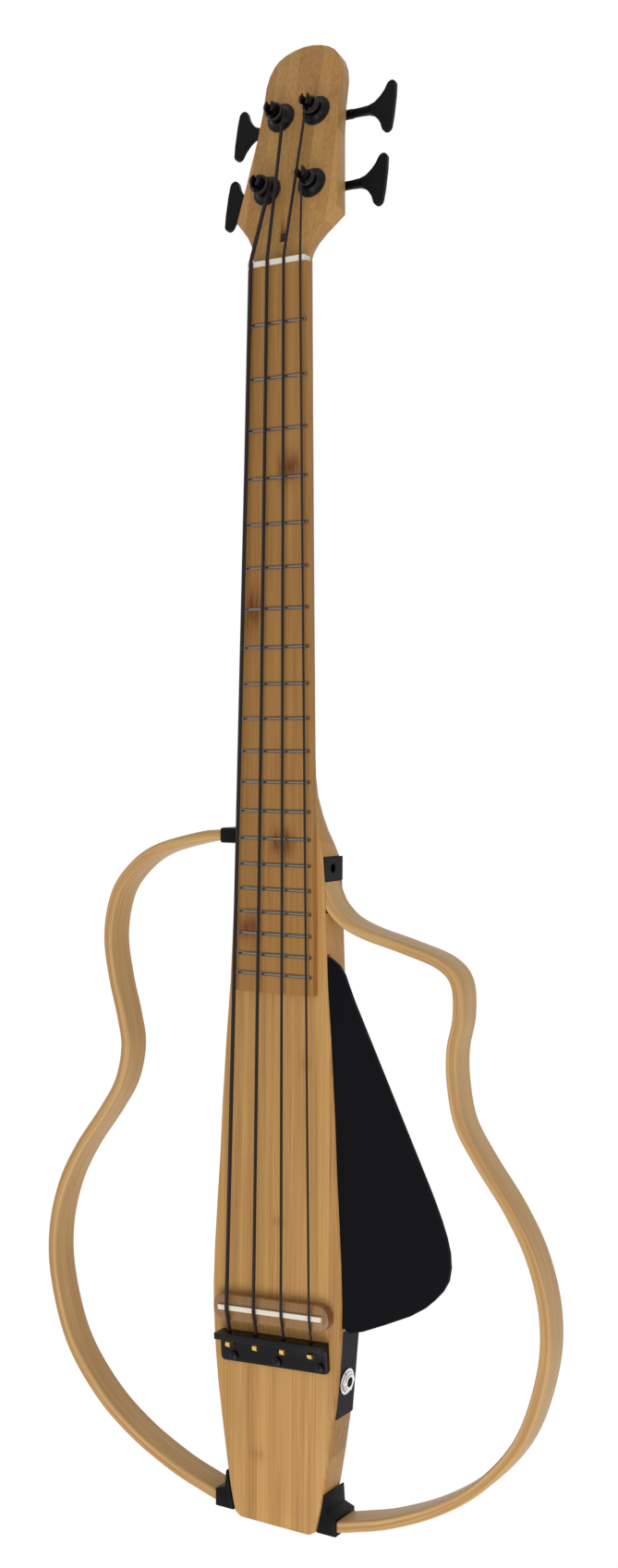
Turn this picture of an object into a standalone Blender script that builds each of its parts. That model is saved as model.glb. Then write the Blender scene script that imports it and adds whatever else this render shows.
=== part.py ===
"""A travel bass guitar with pull-out side frames, as separate named pieces.

Metres, +Z up towards the headstock. +X is the treble side and -Y the front.
The nut line is at z = 0, and the top of the fingerboard is at y = 0.
"""

import math

import bmesh
import bpy
from mathutils import Matrix, Vector

MM = 0.001
GAP = 0.3 * MM
RUN = 0.1 * MM
# How far a cutter runs past what it cuts, and past the body's sides
PAST = 5 * MM
BESIDE = 60 * MM

# Strings, in order from bass to treble
SCALE_LENGTH = 650 * MM
STRING_NAMES = ("e", "a", "d", "g")
STRING_DIAMETERS = (2.8 * MM, 2.4 * MM, 2.0 * MM, 1.6 * MM)
NUT_SPAN = 36.3 * MM
SADDLE_SPAN = 60.4 * MM
NUT_STRING_Y = -1.7 * MM
SADDLE_STRING_Y = -3.4 * MM
WINDING_TURNS = 1.75
WINDING_STEPS = 22
WINDING_AIR = 0.5 * MM

# Fingerboard, frets and nut
BOARD_LENGTH = 457 * MM
BOARD_NUT_HALF = 22.2 * MM
BOARD_END_HALF = 29.6 * MM
BOARD_THICKNESS = 4.7 * MM
FRET_END_MARGIN = 3 * MM
FRET_WIDTH = 2.0 * MM
FRET_CROWN = 1.2 * MM
FRET_TANG_WIDTH = 0.6 * MM
FRET_TANG_DEPTH = 1.6 * MM
FRET_INSET = 1.0 * MM
NUT_WIDTH = 42 * MM
NUT_LENGTH = 3.6 * MM
NUT_TOP_Y = -2.3 * MM
NUT_FLOOR_Y = 4.9 * MM

# Neck and body; the front of the wood is at FRONT_Y
FRONT_Y = 5 * MM
BODY_DEPTH = 28 * MM
NECK_EDGE = 0.4 * MM
BODY_EDGE = 2.5 * MM
ARC_STEPS = 12
FLAT_BACK = 1.009
# Each station is z, half width, depth and squareness, which is 2 for an ellipse
STATIONS = (
    (12, 19.0, 11.0, 2.2),
    (2, 21.0, 14.0, 2.0),
    (-110, 22.8, 14.6, 1.8),
    (-220, 24.4, 15.2, 1.8),
    (-309, 25.8, 15.6, 1.8),
    (-322, 26.0, 16.2, 1.9),
    (-334, 26.6, 18.2, 2.2),
    (-345, 27.6, 21.0, 2.8),
    (-355, 29.0, 24.2, 3.6),
    (-364, 30.8, 27.0, 5.0),
    (-372, 32.4, 28.0, 7.0),
    (-392, 33.8, 28.0, 9.0),
    (-426, 35.2, 28.0, 9.0),
    (-451, 36.3, 28.0, 9.0),
    (-487, 39.1, 28.0, 9.0),
    (-530, 41.9, 28.0, 9.0),
    (-563, 43.4, 28.0, 9.0),
    (-594, 45.4, 28.0, 9.0),
    (-621, 47.0, 28.0, 9.0),
    (-645, 47.8, 28.0, 9.0),
    (-660, 47.7, 28.0, 9.0),
    (-676, 46.7, 28.0, 9.0),
    (-690, 45.7, 28.0, 9.0),
    (-710, 43.5, 28.0, 9.0),
    (-726, 41.1, 28.0, 9.0),
    (-741, 38.8, 28.0, 9.0),
    (-758, 36.1, 28.0, 8.0),
    (-771, 34.0, 28.0, 7.0),
    (-780, 32.0, 28.0, 7.0),
    (-787, 30.2, 27.6, 7.0),
    (-789.5, 26.5, 26.0, 7.0),
)

# Headstock, tilted back about the line y = z = HEAD_START
HEAD_TILT = math.radians(12)
HEAD_START = 3 * MM
HEAD_THICKNESS = 14 * MM
HEAD_EDGE = 0.6 * MM
# Each station is the distance along the face, half width, depth and squareness
HEAD_STATIONS = (
    (-3, 20.8, 14.6, 2.2),
    (2, 20.8, 14.8, 2.3),
    (7, 21.3, 14.4, 2.6),
    (13, 23.2, 14.0, 3.4),
    (20, 27.2, 14.0, 5.0),
    (26, 32.2, 14.0, 7.0),
    (32, 37.6, 14.0, 9.0),
    (54, 34.6, 14.0, 9.0),
    (90, 29.9, 14.0, 9.0),
    (108, 28.5, 14.0, 9.0),
    (126, 28.3, 14.0, 9.0),
    (134, 26.8, 14.0, 9.0),
    (140, 24.2, 14.0, 9.0),
    (144, 21.0, 14.0, 9.0),
    (147, 16.5, 14.0, 9.0),
    (149.2, 10.5, 13.6, 9.0),
    (150.4, 4.0, 13.0, 9.0),
)

# Tuners, in the order of the strings, as side, post half spacing and post distance
TUNERS = (
    (-1, 16.7 * MM, 51.0 * MM),
    (-1, 13.2 * MM, 101.8 * MM),
    (1, 13.2 * MM, 101.8 * MM),
    (1, 16.7 * MM, 51.0 * MM),
)
POST_RADIUS = 4.2 * MM
POST_WAIST = 3.5 * MM
POST_TAIL = 1.5 * MM
POST_END = -21 * MM
POST_HEIGHT = 16.2 * MM
POST_SLOT = 3.3 * MM
POST_SLOT_FLOOR = 10.4 * MM
BUSHING_FLANGE = 10 * MM
BUSHING_BARREL = 4.5 * MM
BUSHING_RISE = 3.6 * MM
BUSHING_CROWN = 5.8 * MM
BUSHING_EDGE = 0.9 * MM
TURN_STEPS = 16
WORM_DEPTH = 18.2 * MM
GEAR_MODULE = 0.4 * MM
GEAR_TEETH = 16
GEAR_THICKNESS = 3 * MM
WORM_PITCH_RADIUS = 1.8 * MM
WORM_TURNS = 4
WORM_STEPS = 10
TOOTH_HALF = 0.2 * MM
HOUSING_BACK = 22.6 * MM
HOUSING_WALL = 1.4 * MM
HOUSING_HALF = 7.6 * MM
HOUSING_BELOW = 11 * MM
HOUSING_ABOVE = 5 * MM
HOUSING_NECK = 3.2 * MM
HOUSING_SCREW_OFF = (4.5 * MM, 8.2 * MM)
HOUSING_SCREW_RADIUS = 1.0 * MM
HOUSING_SCREW_HEAD = 2.2 * MM
HOUSING_SCREW_DEPTH = 6 * MM
BUTTON_START = 36 * MM
BUTTON_THICKNESS = 3.6 * MM
STEM_RADIUS = 2.9 * MM
STEM_HALF = 6 * MM
SHAFT_RADIUS = 0.8 * MM
SHAFT_INNER = 4.6 * MM
SHAFT_IN_BUTTON = 9 * MM
LOBE_RADIUS = 3.3 * MM
LOBE_ALONG = 20 * MM
LOBE_OFF = 14.5 * MM

# Truss rod
ROD_Y = 9 * MM
ROD_RADIUS = 2.8 * MM
ROD_THIN = 1.3 * MM
ROD_END_Z = -382 * MM
ROD_STEP_Z = -5 * MM
ROD_TOP_Z = 20 * MM
ROD_NUT_Z = (14 * MM, 22 * MM)
ROD_NUT_RADIUS = 1.8 * MM
ROD_SLOT_HALF = 2.5 * MM
ROD_SLOT_BOTTOM = 16 * MM
ROD_SLOT_TOP = 41 * MM

# Bridge, saddle and tailpiece, which share one slant
SLANT = math.atan2(4.3, 76)
BRIDGE_Z = -655.4 * MM
BRIDGE_LENGTH = 85 * MM
BRIDGE_WIDTH = 16 * MM
BRIDGE_CORNER = 7.4 * MM
BRIDGE_EDGE = 1.6 * MM
BRIDGE_TOP_Y = -1.5 * MM
SADDLE_LENGTH = 76 * MM
SADDLE_WIDTH = 3 * MM
SADDLE_TOP_Y = -3.1 * MM
SADDLE_FLOOR_Y = 3 * MM
PIEZO_THICKNESS = 1 * MM
TAIL_Z_FRONT = -671 * MM
TAIL_LENGTH = 79 * MM
TAIL_WIDTH = 19 * MM
TAIL_CORNER = 2.5 * MM
TAIL_WALL = 4.5 * MM
TAIL_BASE = 3 * MM
TAIL_TOP_Y = -5.6 * MM
TAIL_STRING_Y = -1.2 * MM
TAIL_HOLE_RADIUS = 1.9 * MM
TAIL_SCREWS_X = (-28.5 * MM, 4 * MM, 35 * MM)
TAIL_SCREW_Z = -686.3 * MM
BALL_RADIUS = 2.4 * MM
BALL_LENGTH = 3.2 * MM
SCREW_HEAD = 2.9 * MM
SCREW_SHANK = 1.7 * MM
SCREW_TIP_Y = 20 * MM

# Side frames and their sockets
STRIP_THICKNESS = 7 * MM
STRIP_FRONT_Y = 7 * MM
STRIP_DEPTH = 20.5 * MM
STRIP_EDGE = 1.6 * MM
SPLINE_STEPS = 2
LOWER_ROUTE = (
    (121, -503),
    (126, -526),
    (139, -547),
    (158.5, -573),
    (173, -599.5),
    (181, -631),
    (179.5, -664),
    (166, -704),
    (141, -735),
    (112, -756),
    (80, -771),
    (56, -778.5),
    (44, -781.5),
)
LEFT_UPPER_ROUTE = (
    (35, -359.6),
    (46.5, -359.9),
    (62.3, -361.6),
    (97, -371),
    (118, -385),
    (131, -403),
    (136, -430),
    (131.5, -458),
    (124.4, -483),
)
RIGHT_UPPER_ROUTE = (
    (29.5, -388),
    (32, -394),
    (35.1, -400.2),
    (39.5, -405.4),
    (47.2, -411.5),
    (61.9, -417.5),
    (88, -424.3),
    (112, -432),
    (123, -443),
    (124.5, -463),
    (120.6, -483),
)
STRIP_END_X = 35.5 * MM
FRAME_END_ROOM = 1.8 * MM

UPPER_LEFT_SOCKET = ((-45, 5.6, -364.6), (-28.5, 28.9, -354.8))
# The outer outline of the lower sockets, and the heights they cover on the body side
LOWER_SOCKET_OUTER = ((44.5, -787), (44.5, -776), (37.5, -773.5))
LOWER_SOCKET_Z = (-787 * MM, -763 * MM)
LOWER_SOCKET_TIP = 1.4 * MM
POCKET_X = 23.5 * MM
POCKET_Y = (6.7 * MM, 29.3 * MM)
POCKET_Z = (-406 * MM, -371 * MM)
POCKET_BACKING = 2 * MM
POCKET_FACE_X = 33 * MM
PEG_HOLE_RADIUS = 3 * MM
PEG_HOLE_Z = -378.5 * MM
SOCKET_EDGE = 1.5 * MM
SOCKET_WALL = 1.6 * MM

# Knee plate, as x and z of its outline in front view
PLATE_Y = (7 * MM, 9.8 * MM)
PLATE_TONGUE = 5 * MM
GROOVE_ABOVE = 4 * MM
GROOVE_BELOW = 1 * MM
SIDE_STEPS = 6
PLATE_OUTLINE = (
    (34.6, -435.0),
    (35.6, -432.8),
    (38.6, -434.3),
    (43.2, -437.6),
    (47.3, -443.2),
    (49.4, -448.6),
    (53.9, -459.0),
)
# The rounded lower part is a smooth curve through these points
PLATE_ROUND = (
    (105.8, -564.8),
    (114.6, -584.5),
    (120.3, -603.0),
    (119.6, -619.5),
    (110.0, -632.5),
    (95.0, -643.7),
    (62.0, -658.8),
)
PLATE_FOOT = (
    (52.0, -661.4),
    (48.3, -658.8),
)

# Side panel, cavity and jack
PANEL_CENTRE = (44.1 * MM, 18.1 * MM, -689.25 * MM)
PANEL_SIZE = (2.5 * MM, 20 * MM, 54.5 * MM)
PANEL_LEAN = math.radians(4.8)
CAVITY_SIZE = (24 * MM, 17 * MM, 48 * MM)
JACK_ALONG = -5.3 * MM
JACK_ACROSS = -1.5 * MM
JACK_BORE = 3.2 * MM
JACK_BARREL = 4.6 * MM
JACK_COLLAR = 6.6 * MM
JACK_INSIDE = 16 * MM
JACK_END_WALL = 1.5 * MM
JACK_OUTSIDE = 2.4 * MM
JACK_NUT_HEIGHT = 1.2 * MM
JACK_NUT_RADIUS = 6.6 * MM
WASHER_RADIUS = 8 * MM
WASHER_THICKNESS = 0.6 * MM


def clear_scene():
    """Removes what the file opened with and makes the two collections."""
    for item in list(bpy.data.objects):
        bpy.data.objects.remove(item)
    for name in ("travel_bass", "cutters"):
        group = bpy.data.collections.new(name)
        bpy.context.scene.collection.children.link(group)
    bpy.data.collections["cutters"].hide_render = True


def material(name, colour, roughness, metallic=0.0):
    """One Principled material, made once and found by its name afterwards."""
    found = bpy.data.materials.get(name)
    if found:
        return found
    made = bpy.data.materials.new(name)
    made.use_nodes = True
    shader = made.node_tree.nodes["Principled BSDF"]
    shader.inputs["Base Color"].default_value = (*colour, 1)
    shader.inputs["Roughness"].default_value = roughness
    shader.inputs["Metallic"].default_value = metallic
    made.diffuse_color = (*colour, 1)
    return made


def bamboo():
    return material("bamboo", (0.66, 0.42, 0.20), 0.35)


def board_wood():
    return material("caramel_bamboo", (0.42, 0.22, 0.09), 0.4)


def black_plastic():
    return material("black_plastic", (0.012, 0.012, 0.014), 0.35)


def matt_black():
    return material("matt_black", (0.008, 0.009, 0.011), 0.6)


def black_metal():
    return material("black_metal", (0.015, 0.015, 0.016), 0.25, 0.6)


def silver():
    return material("silver", (0.75, 0.75, 0.76), 0.25, 1.0)


def steel():
    return material("steel", (0.55, 0.55, 0.56), 0.35, 1.0)


def brass():
    return material("brass", (0.75, 0.52, 0.20), 0.3, 1.0)


def ivory():
    return material("ivory", (0.85, 0.80, 0.66), 0.4)


def string_wrap():
    return material("black_wrap", (0.015, 0.015, 0.016), 0.4, 0.3)


def place(item, finish, parent=None):
    """Links a finished piece into the object's collection, or a cutter without a finish."""
    group = "travel_bass" if finish else "cutters"
    bpy.data.collections[group].objects.link(item)
    if finish:
        item.data.materials.clear()
        item.data.materials.append(finish)
    else:
        item.hide_render = True
        item.display_type = "WIRE"
    item.parent = parent
    return item


def from_bmesh(name, shape, finish, parent=None):
    """Turns a bmesh into a placed object."""
    mesh = bpy.data.meshes.new(name)
    shape.to_mesh(mesh)
    shape.free()
    return place(bpy.data.objects.new(name, mesh), finish, parent)


def add_box(shape, low, high):
    """Adds a box between two corners to a bmesh."""
    size = [high[i] - low[i] for i in range(3)]
    centre = [(high[i] + low[i]) / 2 for i in range(3)]
    at = Matrix.Translation(centre) @ Matrix.Diagonal((*size, 1))
    bmesh.ops.create_cube(shape, size=1, matrix=at)


def box(name, low, high, finish=None, parent=None):
    """A box between two opposite corners."""
    shape = bmesh.new()
    add_box(shape, low, high)
    return from_bmesh(name, shape, finish, parent)


def add_rod(shape, radius, start, end, steps=TURN_STEPS):
    """Adds a closed cylinder between two points to a bmesh."""
    start = Vector(start)
    along = Vector(end) - start
    turn = along.to_track_quat("Z", "Y").to_matrix().to_4x4()
    at = Matrix.Translation(start + along / 2) @ turn
    bmesh.ops.create_cone(
        shape,
        cap_ends=True,
        segments=steps,
        radius1=radius,
        radius2=radius,
        depth=along.length,
        matrix=at,
    )


def rod(name, radius, start, end, finish=None, parent=None, steps=TURN_STEPS):
    """A closed cylinder between two points."""
    shape = bmesh.new()
    add_rod(shape, radius, start, end, steps)
    return from_bmesh(name, shape, finish, parent)


def turned(name, profile, finish=None, parent=None, steps=TURN_STEPS, hollow=False):
    """A turned piece about local Z, from radius and height pairs down its outer side."""
    mesh = bpy.data.meshes.new(name)
    points = [(radius, 0, height) for radius, height in profile]
    edges = [(i, i + 1) for i in range(len(points) - 1)]
    if hollow:
        edges.append((len(points) - 1, 0))
    mesh.from_pydata(points, edges, [])
    item = place(bpy.data.objects.new(name, mesh), finish, parent)
    screw = item.modifiers.new("turn", "SCREW")
    screw.axis = "Z"
    screw.steps = steps
    screw.render_steps = steps
    screw.use_merge_vertices = True
    screw.merge_threshold = 0.00001
    screw.use_smooth_shade = False
    return item


def plate(name, outline, front, back, finish=None, parent=None):
    """A flat plate from an x, z outline, between two depths along Y."""
    curve = bpy.data.curves.new(name, "CURVE")
    curve.dimensions = "2D"
    curve.fill_mode = "BOTH"
    curve.extrude = (back - front) / 2
    line = curve.splines.new("POLY")
    line.points.add(len(outline) - 1)
    for point, (x, z) in zip(line.points, outline):
        point.co = (x, z, 0, 1)
    line.use_cyclic_u = True
    shape = mesh_of_curve(name, curve)
    stand = Matrix.Translation((0, (front + back) / 2, 0)) @ Matrix.Rotation(math.pi / 2, 4, "X")
    bmesh.ops.transform(shape, matrix=stand, verts=shape.verts)
    return from_bmesh(name, shape, finish, parent)


def boolean(item, other, operation="DIFFERENCE"):
    """An exact Boolean of one piece with another."""
    step = item.modifiers.new(other.name, "BOOLEAN")
    step.operation = operation
    step.solver = "EXACT"
    step.object = other
    return item


def bevel(item, width, segments=2, angle=50):
    """Rounds the edges sharper than an angle."""
    step = item.modifiers.new("round", "BEVEL")
    step.width = width
    step.segments = segments
    step.limit_method = "ANGLE"
    step.angle_limit = math.radians(angle)
    return item


def in_mm(points):
    return [(x * MM, z * MM) for x, z in points]


def head_frame():
    """The empty that carries the headstock: local X, depth behind the face, distance along."""
    frame = bpy.data.objects.new("headstock_frame", None)
    bpy.data.collections["travel_bass"].objects.link(frame)
    frame.location = (0, HEAD_START, HEAD_START)
    frame.rotation_euler = (-HEAD_TILT, 0, 0)
    return frame


def half_width(z):
    """Half width of the wood at a height, in metres."""
    for high, low in zip(STATIONS, STATIONS[1:]):
        if low[0] * MM <= z:
            share = (high[0] * MM - z) / ((high[0] - low[0]) * MM)
            return (high[1] + (low[1] - high[1]) * share) * MM
    return STATIONS[-1][1] * MM


def section(half, depth, squareness, edge):
    """One loop of the neck and body: a flat front, small front edges and a curved back."""
    points = []
    for step in range(3):
        turn = math.radians(90 - 30 * step)
        across = half - edge + edge * math.cos(turn)
        points.append((across, FRONT_Y + edge - edge * math.sin(turn)))
    for step in range(ARC_STEPS + 1):
        turn = math.pi * step / ARC_STEPS
        cosine = math.cos(turn)
        sine = max(math.sin(turn), 0)
        x = math.copysign(abs(cosine) ** (2 / squareness), cosine)
        y = min(1, FLAT_BACK * sine ** (2 / squareness))
        points.append((half * x, FRONT_Y + edge + (depth - edge) * y))
    points += [(-x, y) for x, y in reversed(points[:3])]
    return points


def loft(name, stations, edge_of, finish, parent=None):
    """A solid through stations of height, half width, depth and squareness."""
    shape = bmesh.new()
    rings = []
    for z, half, depth, squareness in stations:
        loop = section(half * MM, depth * MM, squareness, edge_of(z))
        rings.append([shape.verts.new((x, y, z * MM)) for x, y in loop])
    for first, second in zip(rings, rings[1:]):
        for i in range(len(first)):
            j = (i + 1) % len(first)
            shape.faces.new((first[i], first[j], second[j], second[i]))
    shape.faces.new(rings[0][::-1])
    shape.faces.new(rings[-1])
    bmesh.ops.recalc_face_normals(shape, faces=shape.faces)
    return from_bmesh(name, shape, finish, parent)


def body_edge(z):
    return BODY_EDGE if z < -368 else NECK_EDGE


def body_neck(head):
    """The wooden body with its headstock and every pocket and bore."""
    body = loft("body_neck", STATIONS, body_edge, bamboo())
    stock = loft("headstock_shape", HEAD_STATIONS, lambda s: HEAD_EDGE, None, head)
    stock.location = (0, -FRONT_Y, 0)
    boolean(body, stock, "UNION")
    reach = NUT_WIDTH / 2 + PAST
    low = (-reach, -PAST, -0.5 * MM)
    boolean(body, box("nut_seat", low, (reach, NUT_FLOOR_Y + GAP, NUT_LENGTH + 2 * GAP)))
    half = ROD_RADIUS + GAP
    low = (-half, FRONT_Y - PAST, ROD_END_Z - GAP)
    boolean(body, box("rod_channel", low, (half, ROD_Y + half, ROD_STEP_Z + 1 * MM)))
    start = (0, ROD_Y, ROD_STEP_Z - 1 * MM)
    boolean(body, rod("rod_bore", ROD_SLOT_HALF, start, (0, ROD_Y, ROD_SLOT_TOP)))
    half = ROD_SLOT_HALF * 0.98
    low = (-half, -PAST, ROD_SLOT_BOTTOM)
    boolean(body, box("rod_slot", low, (half, ROD_Y, ROD_SLOT_TOP)))
    bores = bmesh.new()
    for side, half_spacing, along in TUNERS:
        x = side * half_spacing
        through = HEAD_THICKNESS + PAST
        add_rod(bores, BUSHING_BARREL + GAP, (x, -PAST, along), (x, through, along))
        at, height = tuner_screw_spot(side, half_spacing, along)
        start = (at, HEAD_THICKNESS - HOUSING_SCREW_DEPTH - 2 * MM, height)
        add_rod(bores, HOUSING_SCREW_RADIUS + GAP, start, (at, through, height), 10)
    boolean(body, from_bmesh("tuner_bores", bores, None, head))
    pockets = bmesh.new()
    front, back = FRONT_Y - PAST, FRONT_Y + BODY_DEPTH + PAST
    low, high = UPPER_LEFT_SOCKET
    start = (-BESIDE, front, low[2] * MM - GAP)
    add_box(pockets, start, (high[0] * MM + GAP, back, high[2] * MM + GAP))
    low = (POCKET_X, POCKET_Y[0], POCKET_Z[0])
    add_box(pockets, low, (BESIDE, POCKET_Y[1], POCKET_Z[1]))
    boolean(body, from_bmesh("frame_pockets", pockets, None))
    boolean(body, knee_groove())
    boolean(body, side_cavity())
    holes = bmesh.new()
    for x in TAIL_SCREWS_X:
        z = tail_z(x, TAIL_SCREW_Z)
        add_rod(holes, SCREW_SHANK + GAP, (x, 0, z), (x, SCREW_TIP_Y + 1 * MM, z), 12)
    boolean(body, from_bmesh("tail_holes", holes, None))
    return body


def fingerboard():
    """The tapered board with its frets, which are pressed and glued in for good."""
    outline = [
        (-BOARD_NUT_HALF, 0),
        (-BOARD_END_HALF, -BOARD_LENGTH),
        (BOARD_END_HALF, -BOARD_LENGTH),
        (BOARD_NUT_HALF, 0),
    ]
    board = plate("fingerboard", outline, 0, BOARD_THICKNESS, board_wood())
    boolean(board, frets(), "UNION")


def fret_z(number):
    return -SCALE_LENGTH * (1 - 2 ** (-number / 12))


def fret_places():
    """Heights of the frets, as many as the board has room for."""
    places = []
    while fret_z(len(places) + 1) > FRET_END_MARGIN - BOARD_LENGTH:
        places.append(fret_z(len(places) + 1))
    return places


def board_half(z):
    return BOARD_NUT_HALF + (BOARD_END_HALF - BOARD_NUT_HALF) * -z / BOARD_LENGTH


def frets():
    """The crowns of the frets and the part of each tang that sits in the board."""
    shape = bmesh.new()
    half = FRET_WIDTH / 2
    tang = FRET_TANG_WIDTH / 2
    sunk = 0.2 * MM
    shoulder = 0.5 * MM - FRET_CROWN
    profile = (
        (-half, sunk),
        (-half, shoulder),
        (-half * 0.5, -FRET_CROWN),
        (half * 0.5, -FRET_CROWN),
        (half, shoulder),
        (half, sunk),
        (tang, FRET_TANG_DEPTH),
        (-tang, FRET_TANG_DEPTH),
    )
    for z in fret_places():
        reach = board_half(z) - FRET_INSET
        near = [shape.verts.new((-reach, y, z + dz)) for dz, y in profile]
        far = [shape.verts.new((reach, y, z + dz)) for dz, y in profile]
        shape.faces.new(near)
        shape.faces.new(far[::-1])
        for i in range(len(profile)):
            j = (i + 1) % len(profile)
            shape.faces.new((near[j], near[i], far[i], far[j]))
    bmesh.ops.recalc_face_normals(shape, faces=shape.faces)
    return from_bmesh("fret_crowns", shape, None)


def string_at(index):
    """Nut point, saddle point and tail point of one string's centre line."""
    share = index / 3 - 0.5
    radius = STRING_DIAMETERS[index] / 2
    x_saddle = SADDLE_SPAN * share
    nut = Vector((NUT_SPAN * share, NUT_STRING_Y - radius, NUT_LENGTH / 2))
    saddle = Vector((x_saddle, SADDLE_STRING_Y - radius, bridge_z(x_saddle)))
    tail = Vector((x_saddle, TAIL_STRING_Y, tail_z(x_saddle, TAIL_Z_FRONT)))
    return nut, saddle, tail


def bridge_z(x):
    return BRIDGE_Z + x * math.tan(SLANT)


def tail_z(x, z):
    return z + x * math.tan(SLANT)


def nut():
    """The ivory nut with a round slot for each string."""
    low = (-NUT_WIDTH / 2, NUT_TOP_Y, GAP)
    piece = box("nut", low, (NUT_WIDTH / 2, NUT_FLOOR_Y, NUT_LENGTH), ivory())
    slots = bmesh.new()
    for index, diameter in enumerate(STRING_DIAMETERS):
        at, _, _ = string_at(index)
        radius = diameter / 2 + GAP
        add_rod(slots, radius, (at.x, at.y, -PAST), (at.x, at.y, NUT_LENGTH + PAST), 12)
        half = radius * 0.97
        low = (at.x - half, NUT_TOP_Y - PAST, -PAST - 0.1 * MM)
        add_box(slots, low, (at.x + half, at.y - 0.05 * MM, NUT_LENGTH + PAST + 0.1 * MM))
    cutter = from_bmesh("nut_slots", slots, None)
    step = boolean(piece, cutter).modifiers[-1]
    step.use_self = True


def head_point(x, height, along):
    """World place of a point at a height in front of the headstock's face."""
    sine, cosine = math.sin(HEAD_TILT), math.cos(HEAD_TILT)
    y = HEAD_START + along * sine - height * cosine
    z = HEAD_START + along * cosine + height * sine
    return Vector((x, y, z))


def in_head(point):
    """x, height and distance along the headstock of a world point."""
    sine, cosine = math.sin(HEAD_TILT), math.cos(HEAD_TILT)
    y, z = point.y - HEAD_START, point.z - HEAD_START
    return point.x, -(y * cosine - z * sine), y * sine + z * cosine


def winding(index):
    """The turns of one string on its post, which stay clear of the post when it turns."""
    side, half_spacing, along = TUNERS[index]
    radius = STRING_DIAMETERS[index] / 2
    circle = POST_WAIST + GAP + radius
    pitch = 2 * radius + WINDING_AIR
    start_height = BUSHING_RISE + 3 * GAP + radius
    x, _, s = in_head(string_at(index)[0])
    centre_x = side * half_spacing
    away = math.hypot(x - centre_x, s - along)
    bearing = math.atan2(s - along, x - centre_x)
    turn_sense = -side
    first = bearing + turn_sense * math.acos(circle / away)
    points = []
    count = round(WINDING_TURNS * WINDING_STEPS)
    for step in range(count + 1):
        turns = step / WINDING_STEPS
        angle = first + turn_sense * 2 * math.pi * turns
        height = start_height + pitch * turns
        across = centre_x + circle * math.cos(angle)
        points.append(head_point(across, height, along + circle * math.sin(angle)))
    return points, first + turn_sense * 2 * math.pi * WINDING_TURNS


def least_self_gap(points, radius):
    """Least free space between parts of a winding half a turn or more apart."""
    least = 1.0
    for i, first in enumerate(points):
        for second in points[i + WINDING_STEPS // 2 :]:
            least = min(least, (first - second).length - 2 * radius)
    return least


def tube(name, points, radius, finish):
    """A round cord through points, with closed ends, as a mesh that a Boolean can take."""
    curve = bpy.data.curves.new(name, "CURVE")
    curve.dimensions = "3D"
    curve.bevel_depth = radius
    curve.bevel_resolution = 1
    curve.use_fill_caps = True
    curve.resolution_u = 1
    line = curve.splines.new("POLY")
    line.points.add(len(points) - 1)
    for knot, at in zip(line.points, points):
        knot.co = (*at, 1)
    return from_bmesh(name, mesh_of_curve(name, curve), finish)


def mesh_of_curve(name, curve):
    """The welded mesh that Blender makes of a curve."""
    drawn = bpy.data.objects.new(name + "_curve", curve)
    bpy.context.scene.collection.objects.link(drawn)
    bpy.context.view_layer.update()
    graph = bpy.context.evaluated_depsgraph_get()
    mesh = bpy.data.meshes.new_from_object(drawn.evaluated_get(graph))
    bpy.data.objects.remove(drawn)
    shape = bmesh.new()
    shape.from_mesh(mesh)
    bpy.data.meshes.remove(mesh)
    bmesh.ops.remove_doubles(shape, verts=shape.verts, dist=0.000001)
    return shape


def strings():
    """Each string whole: ball end, tail hole, saddle, nut and the turns on its post."""
    for index, name in enumerate(STRING_NAMES):
        at_nut, at_saddle, at_tail = string_at(index)
        ball_z = at_tail.z - TAIL_WALL - GAP - BALL_RADIUS
        inside = Vector((at_tail.x, at_tail.y, ball_z + BALL_RADIUS * 0.4))
        before = at_tail + Vector((0, 0, 1.5 * MM))
        half_nut = Vector((0, 0, NUT_LENGTH / 2))
        turns, _ = winding(index)
        gap = least_self_gap(turns, STRING_DIAMETERS[index] / 2)
        print(f"string {name} turns clear each other by {gap / MM:.2f} mm")
        points = [inside, before, at_saddle, at_nut - half_nut, at_nut + half_nut, *turns]
        string = tube(f"string_{name}", points, STRING_DIAMETERS[index] / 2, string_wrap())
        reach = Vector((BALL_LENGTH / 2, 0, 0))
        middle = Vector((at_tail.x, at_tail.y, ball_z))
        ball = rod(f"ball_{name}", BALL_RADIUS, middle - reach, middle + reach, steps=10)
        boolean(string, ball, "UNION")


def slanted(item, x, y, z):
    """Turns a piece by the bridge's slant about Y, at its own place."""
    item.location = (x, y, z)
    item.rotation_euler = (0, -SLANT, 0)
    return item


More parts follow.
